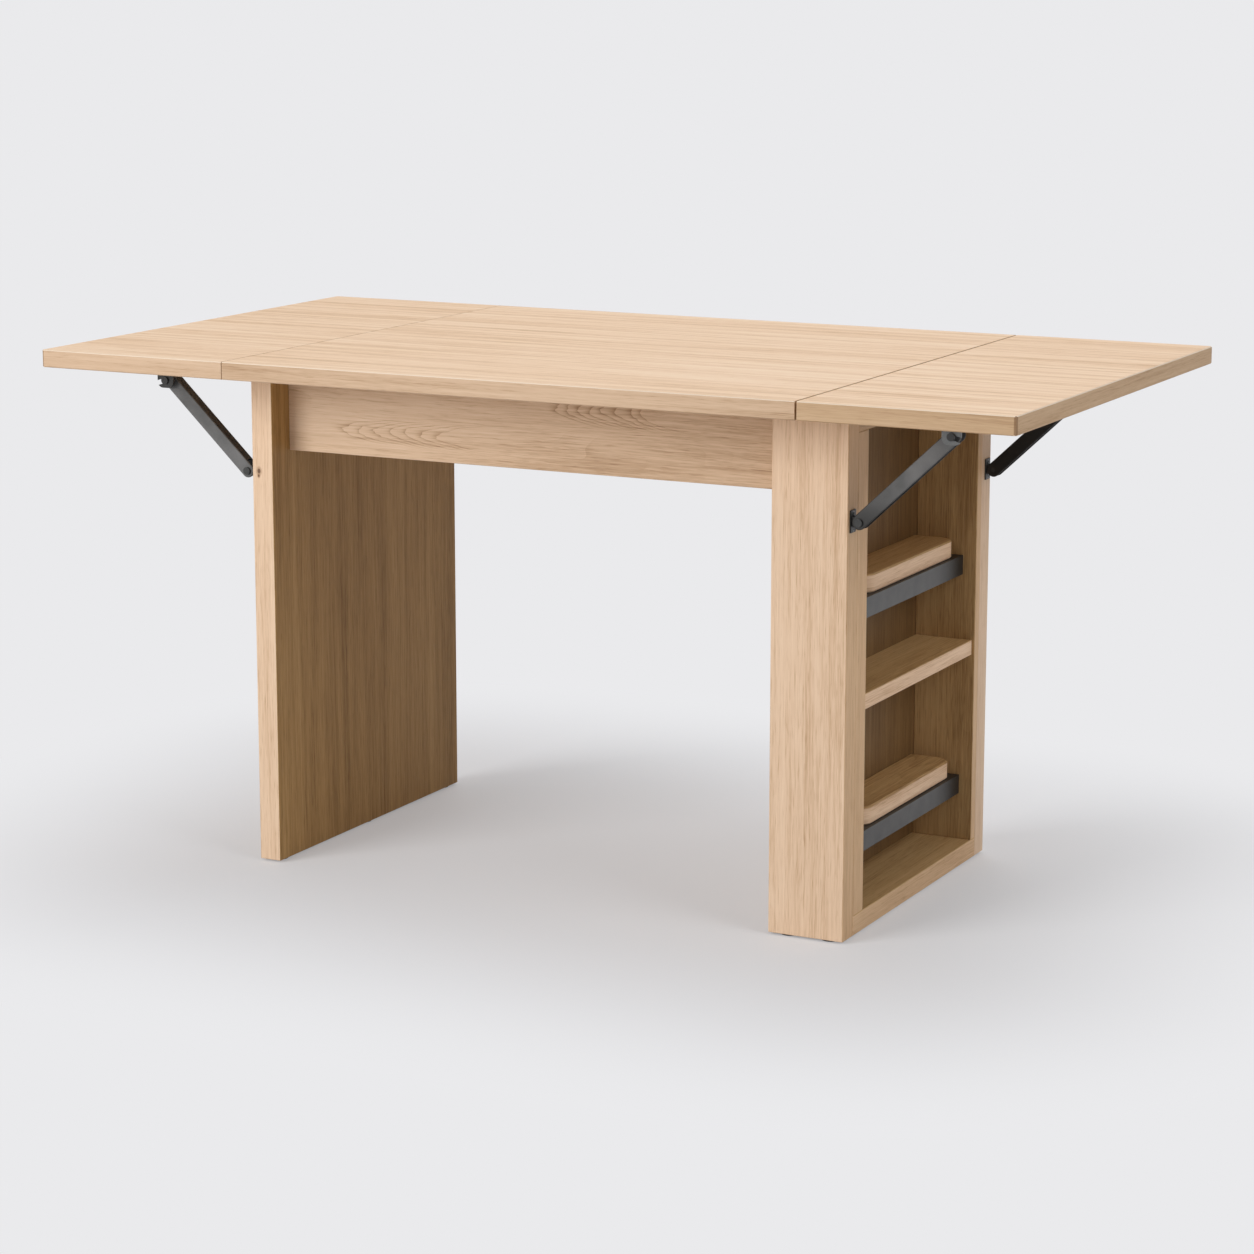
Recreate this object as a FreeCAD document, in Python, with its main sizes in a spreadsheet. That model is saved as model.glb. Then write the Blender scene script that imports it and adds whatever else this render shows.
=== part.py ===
import FreeCAD, Part
import os
import re
import Sketcher

# Island table with a drop leaf at each end.
# Millimetres, +Z up, origin on the floor under the middle of the top.
# X runs along the length, Y to the rear. The open bay looks towards +X.

doc = FreeCAD.newDocument("island_table")
sheet = doc.addObject("Spreadsheet::Sheet", "Sizes")

# Every size that can be set by itself: name, value, what it measures.
SIZES = [
    # The top and its leaves
    ("table_height", 750, "floor to upper face of the top"),
    ("top_thick", 25, "thickness of the top and leaves"),
    ("top_depth", 800, "front edge to rear edge of the top"),
    ("centre_length", 940, "from one hinge line to the other"),
    ("leaf_length", 270, "hinge line to outer edge of a leaf"),
    ("left_seam", 1.2, "gap between left leaf and centre top"),
    ("right_seam", 3, "gap between right leaf and centre top"),
    ("left_lap", 37, "hinge line to the left seam, which lies over the end panel"),
    ("right_lap", 29.5, "hinge line to the right seam, which lies over the column"),
    ("leaf_corner", 5, "corner radius of a leaf seen from above"),
    ("top_ease", 1.2, "bevel along the edges of the top"),
    ("board_ease", 0.8, "small bevel along the edges of the boards"),
    # The base: one end panel, two aprons and a hollow column
    ("front_overhang", 120, "top's front edge to the base's front"),
    ("base_depth", 520, "base, front to rear"),
    ("face_inset", 6.5, "hinge line to the base's outer face"),
    ("panel_thick", 34, "thickness of the left end panel"),
    ("column_width", 110, "column along the length"),
    ("wall_board", 34, "outer front and rear boards of the column"),
    ("front_lining", 34, "inner front board of the column"),
    ("rear_lining", 16, "inner rear board of the column"),
    ("side_board", 18, "closed side of the column"),
    ("floor_board", 28, "bottom board of the column"),
    ("head_board", 34, "top board of the column"),
    ("apron_thick", 25, "thickness of an apron"),
    ("apron_drop", 121, "height of an apron"),
    ("apron_setback", 45, "base's front or rear to an apron's outer face"),
    # Shelf and ledges in the column
    ("shelf_thick", 22, "thickness of the middle shelf"),
    ("shelf_level", 330, "upper face of the middle shelf"),
    ("shelf_setback", 4, "shelf behind the open side"),
    ("shelf_play", 0.5, "gap at each end of the shelf"),
    ("shelf_pin_radius", 2.5, "shelf pin"),
    ("shelf_pin_reach", 9, "shelf pin in the wall and out of it"),
    ("shelf_pin_inset", 20, "shelf edge to its pins"),
    ("ledge_thick", 26, "thickness of a ledge board"),
    ("ledge_corner", 25, "outer corner radius of a ledge board"),
    ("ledge_ease", 2, "bevel along a ledge board"),
    ("ledge_front_gap", 66, "gap at the front end of a ledge board"),
    ("ledge_rear_gap", 12, "gap at the rear end of a ledge board"),
    ("ledge_setback", 26, "ledge board behind the open side"),
    ("ledge_back_play", 2, "gap behind a ledge board"),
    ("upper_ledge_level", 479.5, "upper face of the upper ledge"),
    ("lower_ledge_level", 153.5, "upper face of the lower ledge"),
    ("rail_height", 28, "upright leg of a ledge rail"),
    ("rail_gauge", 2.5, "thickness of a ledge rail"),
    ("rail_flange", 22.5, "level leg of a ledge rail"),
    ("rail_proud", 6, "rail in front of the ledge board"),
    ("rail_plate_width", 26, "end plate of a rail"),
    ("batten_thick", 14, "batten under the back of a ledge"),
    ("batten_height", 20, "batten under the back of a ledge"),
    ("batten_inset", 30, "end of a ledge board to its batten"),
    # Glides under the base
    ("glide_height", 3, "floor to the underside of the base"),
    ("glide_radius", 12, "glide"),
    ("glide_inset", 25, "end of a board to its glide"),
    # Pinned hinges below the top
    ("hinge_drop", 20, "underside of the top to the hinge line"),
    ("hinge_inset", 5.7, "outer board of the column to the nearest hinge"),
    ("outer_knuckle", 18, "each end knuckle, on the fixed flap"),
    ("middle_knuckle", 24, "middle knuckle, on the moving flap"),
    ("knuckle_gap", 0.3, "gap between knuckles"),
    ("barrel_radius", 5, "outside of a knuckle"),
    ("barrel_clear", 1.2, "flap web to the other flap's knuckle"),
    ("hinge_pin_radius", 2.5, "hinge pin"),
    ("running_play", 0.06, "radial play of a turning pin"),
    ("flap_gauge", 2.5, "thickness of a hinge flap"),
    ("flap_reach", 26, "flap beyond the barrel"),
    ("bed_play", 0.3, "gap round a flap let into wood"),
    # Shelf pins, tenons and brackets
    ("fit_play", 0.05, "play of a fixed pin or tenon in its hole"),
    ("tenon_thick", 8, "loose tenon between an apron and the base"),
    ("tenon_height", 56, "loose tenon"),
    ("tenon_in_base", 12, "loose tenon in the end panel or column"),
    ("tenon_in_apron", 28, "loose tenon in the apron"),
    ("tenon_inset", 20, "lower edge of an apron to its tenons"),
    ("bracket_leg", 30, "leg of a bracket under the top"),
    ("bracket_gauge", 2, "thickness of a bracket"),
    ("bracket_width", 22, "width of a bracket"),
    ("bracket_pitch", 260, "middle of the aprons to their brackets"),
    ("panel_bracket_pitch", 95, "middle of the end panel to its brackets"),
    # Folding struts, their clevises and catches
    ("pivot_out", 13, "base's outer face to a strut's pivot"),
    ("pivot_level", 576, "floor to a strut's pivot"),
    ("catch_reach", 138, "hinge line to the catch pin, leaf up"),
    ("catch_drop", 25, "underside to the catch pin, leaf up"),
    ("strut_width", 20, "strut seen from the front"),
    ("strut_depth", 17, "strut, front to rear"),
    ("strut_gauge", 2, "sheet of a strut"),
    ("strut_ease", 1, "bevel along the long edges of a strut"),
    ("web_start", 12, "pivot to the start of a strut's web"),
    ("strut_inset", 6, "base's front to the strut"),
    ("pin_radius", 3, "pivot pin and catch pin"),
    ("pin_head_radius", 5.5, "head of a pin"),
    ("pin_head_height", 2.5, "head of a pin"),
    ("side_play", 0.3, "gap beside a turning piece"),
    ("clevis_gauge", 2, "sheet of a clevis"),
    ("clevis_height", 30, "back plate of a clevis"),
    ("clevis_ear", 13, "height of a clevis ear"),
    ("catch_clear", 0.7, "base's front plane to the catch"),
    ("catch_gauge", 3, "ear of a catch"),
    ("catch_width", 27, "ear of a catch"),
    ("catch_height", 36, "ear of a catch"),
    ("catch_corner", 9, "corner radius of a catch's ear"),
    ("slot_play", 0.5, "gap round the catch pin in its slot"),
    ("foot_gauge", 2, "screwed foot of a catch"),
    ("foot_width", 50, "screwed foot of a catch"),
    ("foot_depth", 24, "screwed foot of a catch"),
    ("foot_corner", 4, "corner radius of a catch's foot"),
    ("overrun", 1, "how far a cutting shape passes the face it cuts"),
]

for row, (alias, number, note) in enumerate(SIZES, start=2):
    sheet.set("A%d" % row, note)
    sheet.set("B%d" % row, str(number))
    sheet.setAlias("B%d" % row, alias)
doc.recompute()

# Places worked out from the sizes. Words here can be used in any later place.
PLACES = {
    "underside": "table_height - top_thick",
    "half_centre": "centre_length / 2",
    "half_depth": "top_depth / 2",
    "end_of_top": "half_centre + leaf_length",
    "seam_left": "left_lap - half_centre",
    "seam_right": "half_centre - right_lap",
    "base_front": "front_overhang - half_depth",
    "base_rear": "base_front + base_depth",
    "base_middle": "base_front + base_depth / 2",
    "face": "half_centre - face_inset",
    "panel_inside": "face - panel_thick",
    "column_back": "face - column_width",
    "bay_back": "column_back + side_board",
    "bay_floor": "glide_height + floor_board",
    "bay_head": "underside - head_board",
    "box_front": "base_front + wall_board",
    "box_rear": "base_rear - wall_board",
    "bay_front": "box_front + front_lining",
    "bay_rear": "box_rear - rear_lining",
    "apron_bottom": "underside - apron_drop",
    "apron_front": "base_front + apron_setback",
    "apron_rear": "base_rear - apron_setback",
    "ledge_back": "bay_back + ledge_back_play",
    "ledge_front": "face - ledge_setback",
    "rail_front": "ledge_front + rail_proud",
    "hinge_level": "underside - hinge_drop",
    "half_hinge": "outer_knuckle + middle_knuckle / 2 + knuckle_gap",
    "pivot_x": "face + pivot_out",
    "catch_x": "half_centre + catch_reach",
    "catch_z": "underside - catch_drop",
    "strut_run": "catch_x - pivot_x",
    "strut_rise": "catch_z - pivot_level",
    "strut_length": "sqrt(strut_run * strut_run + strut_rise * strut_rise)",
    "strut_middle": "base_front + strut_inset + strut_depth / 2",
    "half_clevis": "strut_depth / 2 - strut_gauge - side_play",
    "pivot_end": "strut_depth / 2 + side_play",
    "half_strut": "strut_width / 2",
    "catch_front": "base_front - catch_clear - catch_gauge",
    "slot_radius": "pin_radius + slot_play",
}

SIZE_WORDS = set(alias for alias, number, note in SIZES)


def bound(text):
    """Write a place in terms of the sheet's cells."""
    def swap(match):
        word = match.group(0)
        if word in PLACES:
            return "(" + bound(PLACES[word]) + ")"
        if word in SIZE_WORDS:
            return "Sizes." + word
        return word
    return re.sub(r"[a-z_]+", swap, text)


def value(text):
    """The length that a place has now."""
    return float(sheet.evalExpression(bound(text)))


def spot(along, back, up):
    """A point from three places."""
    return FreeCAD.Vector(value(along), value(back), value(up))


def span(low, high):
    """The distance from one place to another."""
    return "(%s) - (%s)" % (high, low)


RIGHT = FreeCAD.Vector(1, 0, 0)
LEFT = FreeCAD.Vector(-1, 0, 0)
REAR = FreeCAD.Vector(0, 1, 0)
FRONT = FreeCAD.Vector(0, -1, 0)
UP = FreeCAD.Vector(0, 0, 1)
DOWN = FreeCAD.Vector(0, 0, -1)
QUARTER_TURN = 90
FULL_TURN = 360

nodes = {}


def keep(label, item):
    """Name a finished piece and put it on the list of nodes."""
    item.Label = label
    nodes[label] = item
    return item


# Sketches and bodies

def new_sketch(body, role):
    """A sketch on one of the body's own origin planes."""
    sketch = body.newObject("Sketcher::SketchObject", body.Name + "_sketch")
    plane = [item for item in body.Origin.OriginFeatures if item.Role == role][0]
    sketch.AttachmentSupport = [(plane, "")]
    sketch.MapMode = "FlatFace"
    return sketch


def hold(sketch, line, end, along, up):
    """Tie the end of a line, or the centre of an arc, to its places; None leaves one free."""
    for kind, axis, text in (("DistanceX", -2, along), ("DistanceY", -1, up)):
        if text is None:
            continue
        reach = value(text)
        if reach == 0:
            sketch.addConstraint(Sketcher.Constraint("PointOnObject", line, end, axis))
        else:
            number = sketch.addConstraint(Sketcher.Constraint(kind, -1, 1, line, end, reach))
            sketch.setExpression("Constraints[%d]" % number, bound(text))


def polygon(body, role, corners):
    """A closed outline of straight lines through the corners."""
    sketch = new_sketch(body, role)
    points = [FreeCAD.Vector(value(along), value(up), 0) for along, up in corners]
    count = len(points)
    for index in range(count):
        sketch.addGeometry(Part.LineSegment(points[index], points[(index + 1) % count]), False)
    for index in range(count):
        sketch.addConstraint(Sketcher.Constraint("Coincident", index, 2, (index + 1) % count, 1))
    for index, (along, up) in enumerate(corners):
        hold(sketch, index, 1, along, up)
    return sketch


def rectangle(body, role, low, high):
    """A rectangle between two corners."""
    corners = [low, (high[0], low[1]), high, (low[0], high[1])]
    return polygon(body, role, corners)


def circle(sketch, along, up, radius):
    """A round hole or disc in a sketch."""
    centre = FreeCAD.Vector(value(along), value(up), 0)
    ring = sketch.addGeometry(Part.Circle(centre, UP, value(radius)), False)
    hold(sketch, ring, 3, along, up)
    number = sketch.addConstraint(Sketcher.Constraint("Radius", ring, value(radius)))
    sketch.setExpression("Constraints[%d]" % number, bound(radius))


def pad(body, sketch, length, side="One side", reverse=False):
    """Thicken a sketch."""
    feature = body.newObject("PartDesign::Pad", body.Name + "_pad")
    feature.Profile = sketch
    feature.SideType = side
    feature.Reversed = reverse
    feature.setExpression("Length", bound(length))
    doc.recompute()
    return feature


def pocket(body, sketch, length):
    """Cut a sketch out to both sides of its plane, and see that it did cut."""
    before = body.Shape.Volume
    feature = body.newObject("PartDesign::Pocket", body.Name + "_pocket")
    feature.Profile = sketch
    feature.SideType = "Symmetric"
    feature.setExpression("Length", bound(length))
    doc.recompute()
    if feature.Shape.Volume >= before:
        raise ValueError(body.Name + ": a pocket cuts nothing")
    return feature


def edge_names(feature, wanted):
    """The names of the edges that pass a test."""
    edges = feature.Shape.Edges
    return ["Edge%d" % index for index, edge in enumerate(edges, start=1) if wanted(edge)]


def upright(edge):
    """True for a vertical edge."""
    box = edge.BoundBox
    return box.ZLength > box.XLength + box.YLength


def fillet(body, feature, radius, wanted):
    """Round the wanted edges."""
    rounding = body.newObject("PartDesign::Fillet", body.Name + "_fillet")
    rounding.Base = (feature, edge_names(feature, wanted))
    rounding.setExpression("Radius", bound(radius))
    doc.recompute()
    return rounding


def bevel(body, feature, size, edges=None):
    """Bevel the named edges, or all of them."""
    chamfer = body.newObject("PartDesign::Chamfer", body.Name + "_bevel")
    chamfer.Base = (feature, edges or ["Edge1"])
    chamfer.UseAllEdges = not edges
    chamfer.setExpression("Size", bound(size))
    doc.recompute()


def put(item, place):
    """Move a body's own origin to a place."""
    for axis, text in zip("xyz", place):
        item.setExpression("Placement.Base." + axis, bound(text))


def block(name, low, high):
    """A plain board with its lowest corner at the body's origin."""
    body = doc.addObject("PartDesign::Body", name)
    size = [span(start, stop) for start, stop in zip(low, high)]
    sketch = rectangle(body, "XY_Plane", ("0", "0"), (size[0], size[1]))
    pad(body, sketch, size[2])
    put(body, low)
    doc.recompute()
    return body


def board(name, low, high):
    """A sawn board with lightly bevelled edges."""
    body = block(name, low, high)
    bevel(body, body.Tip, "board_ease")
    return body


def spun(name, profile):
    """A turned piece: radius and height of each step, along the body's Z axis."""
    body = doc.addObject("PartDesign::Body", name)
    corners = [("0", profile[0][1])] + profile + [("0", profile[-1][1])]
    sketch = polygon(body, "XZ_Plane", corners)
    turn = body.newObject("PartDesign::Revolution", name + "_turn")
    turn.Profile = sketch
    turn.ReferenceAxis = (sketch, ["V_Axis"])
    turn.Angle = FULL_TURN
    doc.recompute()
    return body


# Holes, copies and twins

def bore(profile, play, place, toward=UP):
    """The hole that a turned piece needs, with a little play all round."""
    steps = [(value(radius) + value(play), value(height)) for radius, height in profile]
    low = steps[0][1] - value(play)
    high = steps[-1][1] + value(play)
    points = [FreeCAD.Vector(0, 0, low), FreeCAD.Vector(steps[0][0], 0, low)]
    points += [FreeCAD.Vector(radius, 0, height) for radius, height in steps[1:-1]]
    points += [FreeCAD.Vector(steps[-1][0], 0, high), FreeCAD.Vector(0, 0, high)]
    face = Part.Face(Part.makePolygon(points + points[:1]))
    solid = face.revolve(FreeCAD.Vector(), UP, FULL_TURN)
    solid.Placement = FreeCAD.Placement(place, FreeCAD.Rotation(UP, toward))
    return solid


def trench(low, high):
    """A straight-sided cut between two corners."""
    size = high - low
    return Part.makeBox(size.x, size.y, size.z, low)


def bored(label, blank, holes):
    """A blank with its holes cut out."""
    tool = doc.addObject("Part::Feature", label + "_holes")
    tool.Shape = Part.makeCompound(holes)
    tool.Placement = FreeCAD.Placement()
    cut = doc.addObject("Part::Cut", label)
    cut.Base = blank
    cut.Tool = tool
    doc.recompute()
    return cut


def moved(shape, place, turn=None):
    """A copy of a shape at a new place."""
    copy = shape.copy()
    rotation = turn if turn else FreeCAD.Rotation()
    copy.Placement = FreeCAD.Placement(place, rotation).multiply(shape.Placement)
    return copy


def group(label, shapes):
    """Like pieces that share one node."""
    item = doc.addObject("Part::Feature", label)
    item.Shape = Part.makeCompound(shapes)
    item.Placement = FreeCAD.Placement()
    return keep(label, item)


def twin(label, source, normal):
    """The mirror image on the other end or the other side of the base."""
    image = doc.addObject("Part::Mirroring", label)
    image.Source = source
    image.Normal = normal
    if normal == REAR:
        image.setExpression("Base.y", bound("base_middle"))
    doc.recompute()
    return keep(label, image)


def toward(direction):
    """The turn that points a piece's Z axis in a direction."""
    return FreeCAD.Rotation(UP, direction)


# Turned pieces: radius and height of each step
GLIDE = [("glide_radius", "0"), ("glide_radius", "glide_height")]
SHELF_PIN = [("shelf_pin_radius", "0"), ("shelf_pin_radius", "2 * shelf_pin_reach")]
HINGE_PIN = [("hinge_pin_radius", "0 - half_hinge"), ("hinge_pin_radius", "half_hinge")]
PIVOT_PIN = [
    ("pin_radius", "0 - strut_depth / 2"),
    ("pin_radius", "pivot_end"),
    ("pin_head_radius", "pivot_end"),
    ("pin_head_radius", "pivot_end + pin_head_height"),
]
CATCH_END = "strut_depth / 2 + strut_inset + catch_clear + catch_gauge + side_play"
CATCH_PIN = [
    ("pin_radius", "0 - strut_depth / 2"),
    ("pin_radius", CATCH_END),
    ("pin_head_radius", CATCH_END),
    ("pin_head_radius", CATCH_END + " + pin_head_height"),
]

glide = spun("glide", GLIDE).Shape
shelf_pin = spun("shelf_pin", SHELF_PIN).Shape
hinge_pin = spun("hinge_pin", HINGE_PIN).Shape

# Places of the hardware, all on the right-hand end unless they say otherwise
first_hinge = value("box_front + hinge_inset + half_hinge")
hinge_rows = [first_hinge, value("base_middle"), value("2 * base_middle") - first_hinge]
panel_glides = [
    spot("0 - face + panel_thick / 2", row, "0")
    for row in ("base_front + glide_inset", "base_middle", "base_rear - glide_inset")
]
column_glides = [
    spot(along, row, "0")
    for along in ("column_back + glide_inset", "face - glide_inset")
    for row in ("base_front + wall_board / 2", "base_rear - wall_board / 2")
]
bracket_places = []
for along in ("0 - bracket_pitch", "bracket_pitch"):
    bracket_places.append((spot(along, "apron_front + apron_thick", "underside"), QUARTER_TURN))
    bracket_places.append((spot(along, "apron_rear - apron_thick", "underside"), -QUARTER_TURN))
for row in ("base_middle - panel_bracket_pitch", "base_middle + panel_bracket_pitch"):
    bracket_places.append((spot("0 - panel_inside", row, "underside"), 0))


def on_brackets(shape):
    """A copy of a shape at each bracket."""
    return [moved(shape, place, FreeCAD.Rotation(UP, angle)) for place, angle in bracket_places]


def flap_bed(row):
    """The recess that a fixed flap needs in the wood below the top."""
    reach = value("half_hinge + bed_play")
    back = "half_centre - barrel_radius - flap_reach - bed_play"
    low = spot(back, "0", "underside - flap_gauge")
    high = spot("half_centre", "0", "underside + overrun")
    return trench(low + FRONT * -row + FRONT * reach, high + REAR * (row + reach))


beds = [flap_bed(row) for row in hinge_rows]

# Loose tenons: each lies half in an apron and half in the end panel or the column
tenons = []
mortises = []
tenon_ends = [
    ("0 - panel_inside - tenon_in_base", "0 - panel_inside + tenon_in_apron"),
    ("column_back - tenon_in_apron", "column_back + tenon_in_base"),
]
for row in ("apron_front + apron_thick / 2", "apron_rear - apron_thick / 2"):
    for start, stop in tenon_ends:
        low = (start, row + " - tenon_thick / 2", "apron_bottom + tenon_inset")
        high = (stop, row + " + tenon_thick / 2", "apron_bottom + tenon_inset + tenon_height")
        ease = spot("fit_play", "fit_play", "fit_play")
        tenons.append(block("tenon", low, high).Shape)
        mortises.append(trench(spot(*low) - ease, spot(*high) + ease))


def flip(shape):
    """The mirror image of a cutting shape on the left-hand end."""
    return shape.mirror(FreeCAD.Vector(), RIGHT)


# The top and its leaves

def top_board(name, low, high, corners):
    """A top board: chosen corners rounded, then its free edges bevelled."""
    body = block(name, low, high)
    feature = body.Tip
    ends = [value(text) for text in corners]
    if ends:
        shift = value(low[0])

        def at_free_end(edge):
            middle = edge.BoundBox.Center
            return upright(edge) and min(abs(middle.x + shift - end) for end in ends) < value("overrun")
        feature = fillet(body, feature, "leaf_corner", at_free_end)
    top = feature.Shape.BoundBox
    seams = [side for side in (top.XMin, top.XMax) if not any(
        abs(side + value(low[0]) - end) < value("overrun") for end in ends)]

    def free(edge):
        box = edge.BoundBox
        level = box.ZLength < value("fit_play")
        on_seam = any(abs(box.XMin - side) + abs(box.XMax - side) < value("fit_play") for side in seams)
        return level and not on_seam
    bevel(body, feature, "top_ease", edge_names(feature, free))
    return body


centre_blank = top_board(
    "centre_top_blank",
    ("seam_left + left_seam / 2", "0 - half_depth", "underside"),
    ("seam_right - right_seam / 2", "half_depth", "table_height"),
    [],
)
right_blank = top_board(
    "right_leaf_blank",
    ("seam_right + right_seam / 2", "0 - half_depth", "underside"),
    ("end_of_top", "half_depth", "table_height"),
    ["end_of_top"],
)
left_blank = top_board(
    "left_leaf_blank",
    ("0 - end_of_top", "0 - half_depth", "underside"),
    ("seam_left - left_seam / 2", "half_depth", "table_height"),
    ["0 - end_of_top"],
)
keep("centre_top", centre_blank)
keep("right_leaf", right_blank)
keep("left_leaf", left_blank)

# The left end panel and the two aprons
end_blank = board(
    "end_panel_blank",
    ("0 - face", "base_front", "glide_height"),
    ("0 - panel_inside", "base_rear", "underside"),
)
end_holes = [flip(bed) for bed in beds] + mortises
keep("left_end_panel", bored("left_end_panel", end_blank, end_holes))
for side, front in (("front", "apron_front"), ("rear", "apron_rear - apron_thick")):
    apron_blank = board(
        side + "_apron_blank",
        ("0 - panel_inside", front, "apron_bottom"),
        ("column_back", front + " + apron_thick", "underside"),
    )
    keep(side + "_apron", bored(side + "_apron", apron_blank, mortises))

# The column: two outer boards, a closed side, floor, head and linings
shelf_pins = []
shelf_pin_holes = []
for along in ("bay_back + shelf_pin_inset", "face - shelf_setback - shelf_pin_inset"):
    for wall, out in (("bay_front - shelf_pin_reach", REAR), ("bay_rear + shelf_pin_reach", FRONT)):
        start = spot(along, wall, "shelf_level - shelf_thick - shelf_pin_radius")
        shelf_pins.append(moved(shelf_pin, start, toward(out)))
        shelf_pin_holes.append(bore(SHELF_PIN, "fit_play", start, out))

column_boards = {
    "front_board": [("column_back", "base_front", "glide_height"), ("face", "box_front", "underside")],
    "rear_board": [("column_back", "box_rear", "glide_height"), ("face", "base_rear", "underside")],
    "bottom_board": [("column_back", "box_front", "glide_height"), ("face", "box_rear", "bay_floor")],
    "top_board": [("column_back", "box_front", "bay_head"), ("face", "box_rear", "underside")],
    "side_panel": [("column_back", "box_front", "bay_floor"), ("bay_back", "box_rear", "bay_head")],
    "front_lining": [("bay_back", "box_front", "bay_floor"), ("face", "bay_front", "bay_head")],
    "rear_lining": [("bay_back", "bay_rear", "bay_floor"), ("face", "box_rear", "bay_head")],
}
column_holes = {
    "top_board": beds,
    "side_panel": mortises,
    "front_lining": shelf_pin_holes,
    "rear_lining": shelf_pin_holes,
}
for name, (low, high) in column_boards.items():
    label = "column_" + name
    piece = board(label + "_blank", low, high)
    if name in column_holes:
        piece = bored(label, piece, column_holes[name])
    keep(label, piece)
shelf = board(
    "column_mid_shelf",
    ("bay_back", "bay_front + shelf_play", "shelf_level - shelf_thick"),
    ("face - shelf_setback", "bay_rear - shelf_play", "shelf_level"),
)
keep("column_mid_shelf", shelf)
group("shelf_pins", shelf_pins)

# Ledges: a rounded board on a steel rail in front and a batten at the back

def ledge(label, level):
    """A ledge board with its two outer corners rounded."""
    low = ("ledge_back", "bay_front + ledge_front_gap", level + " - ledge_thick")
    high = ("ledge_front", "bay_rear - ledge_rear_gap", level)
    body = block(label, low, high)
    outer = value(span(low[0], high[0])) / 2
    corner = fillet(body, body.Tip, "ledge_corner", lambda e: upright(e) and e.BoundBox.Center.x > outer)
    rims = edge_names(corner, lambda e: not upright(e) and e.BoundBox.XMax > value("ledge_ease"))
    bevel(body, corner, "ledge_ease", rims)
    return keep(label, body)


def rail(label, level):
    """An angle rail with a screwed plate at each end."""
    body = doc.addObject("PartDesign::Body", label)
    length = span("bay_front", "bay_rear")
    plate = rectangle(body, "XZ_Plane", ("0 - rail_plate_width", "0 - rail_height"), ("0", "0"))
    pad(body, plate, length, "Symmetric")
    gap = rectangle(body, "XZ_Plane", ("0 - rail_plate_width - overrun", "0 - rail_height - overrun"),
                    ("0 - rail_gauge", "0 - rail_gauge"))
    pocket(body, gap, "(%s) - 2 * rail_gauge" % length)
    put(body, ("rail_front", "(bay_front + bay_rear) / 2", level + " - ledge_thick"))
    doc.recompute()
    return keep(label, body)


for side in ("upper", "lower"):
    ledge(side + "_ledge_board", side + "_ledge_level")
    rail(side + "_ledge_rail", side + "_ledge_level")
battens = []
for side in ("upper", "lower"):
    level = side + "_ledge_level - ledge_thick"
    batten = board(
        side + "_batten",
        ("bay_back", "bay_front + ledge_front_gap + batten_inset", level + " - batten_height"),
        ("bay_back + batten_thick", "bay_rear - ledge_rear_gap - batten_inset", level),
    )
    battens.append(batten.Shape)
group("ledge_back_battens", battens)

# Glides and the fastenings of the base
group("panel_glides", [moved(glide, place) for place in panel_glides])
group("column_glides", [moved(glide, place) for place in column_glides])
group("apron_tenons", tenons)

bracket = doc.addObject("PartDesign::Body", "bracket")
angle_outline = polygon(bracket, "XZ_Plane", [
    ("0", "0"),
    ("0", "0 - bracket_leg"),
    ("bracket_gauge", "0 - bracket_leg"),
    ("bracket_gauge", "0 - bracket_gauge"),
    ("bracket_leg", "0 - bracket_gauge"),
    ("bracket_leg", "0"),
])
pad(bracket, angle_outline, "bracket_width", "Symmetric")
group("top_corner_brackets", on_brackets(bracket.Shape))

# Pinned hinges: the flap's web comes down from the top to the barrel

def flap(name, notches):
    """A flap with its rolled barrel, cut away over the other flap's knuckles."""
    body = doc.addObject("PartDesign::Body", name)
    sketch = new_sketch(body, "XZ_Plane")
    rim = value("barrel_radius")
    web = value("barrel_radius - flap_gauge")
    lift = (rim * rim - web * web) ** 0.5
    top = value("hinge_drop")
    bed = value("hinge_drop - flap_gauge")
    reach = value("barrel_radius + flap_reach")
    corners = [(-rim, 0), (-rim, bed), (-reach, bed), (-reach, top), (-web, top), (-web, lift)]
    points = [FreeCAD.Vector(along, up, 0) for along, up in corners]
    for start, stop in zip(points, points[1:]):
        sketch.addGeometry(Part.LineSegment(start, stop), False)
    arc = sketch.addGeometry(Part.Arc(points[0], FreeCAD.Vector(rim, 0, 0), points[-1]), False)
    texts = [
        ("0 - barrel_radius", "0"),
        ("0 - barrel_radius", "hinge_drop - flap_gauge"),
        ("0 - barrel_radius - flap_reach", "hinge_drop - flap_gauge"),
        ("0 - barrel_radius - flap_reach", "hinge_drop"),
        ("flap_gauge - barrel_radius", "hinge_drop"),
    ]
    for index, (along, up) in enumerate(texts):
        hold(sketch, index, 1, along, up)
        if index:
            sketch.addConstraint(Sketcher.Constraint("Coincident", index - 1, 2, index, 1))
    sketch.addConstraint(Sketcher.Constraint("Vertical", len(texts) - 1))
    sketch.addConstraint(Sketcher.Constraint("Coincident", arc, 3, -1, 1))
    sketch.addConstraint(Sketcher.Constraint("Coincident", 0, 1, arc, 1))
    sketch.addConstraint(Sketcher.Constraint("Coincident", len(texts) - 1, 2, arc, 2))
    circle(sketch, "0", "0", "hinge_pin_radius + running_play")
    pad(body, sketch, "2 * half_hinge", "Symmetric")
    for low, high in notches:
        deep = "0 - barrel_radius - overrun"
        notch = rectangle(body, "YZ_Plane", (low, deep), (high, "barrel_radius + barrel_clear"))
        pocket(body, notch, "3 * barrel_radius")
    return body


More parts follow.
